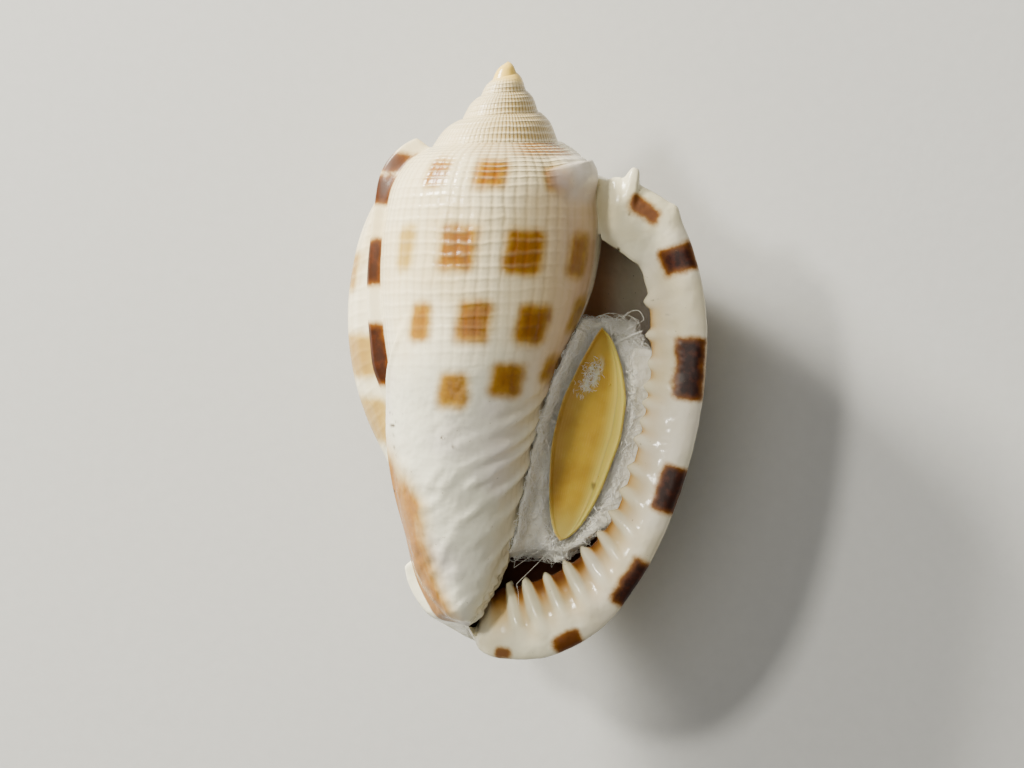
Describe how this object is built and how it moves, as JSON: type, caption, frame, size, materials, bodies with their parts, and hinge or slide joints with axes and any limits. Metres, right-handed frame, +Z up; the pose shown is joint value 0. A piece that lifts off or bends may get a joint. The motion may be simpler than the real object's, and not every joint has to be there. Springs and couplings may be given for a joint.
{
  "type": "helmet shell",
  "caption": "Right-coiled helmet shell lying mouth up, with pointed spire, old lip ridge, thick toothed outer lip, and an operculum set in cotton wool.",
  "frame": {"origin": "under the middle of the box, on the surface it rests on", "axes": "+Y towards the pointed end of the spire, +X to the side of the outer lip, +Z up, with the mouth facing up"},
  "size_m": [0.033, 0.052, 0.0248],
  "materials": {
    "shell": "glossy white and cream shell with square orange-brown spots, dark brown blocks on the lips and an orange stain",
    "cotton_wool": "white fluffy cotton wool with loose fibres",
    "operculum": "thin horny plate, translucent honey yellow with fine growth lines"
  },
  "bodies": {
    "root": {"shell": "shell", "cotton_wool": "cotton_wool", "operculum": "operculum"}
  },
  "joints": []
}
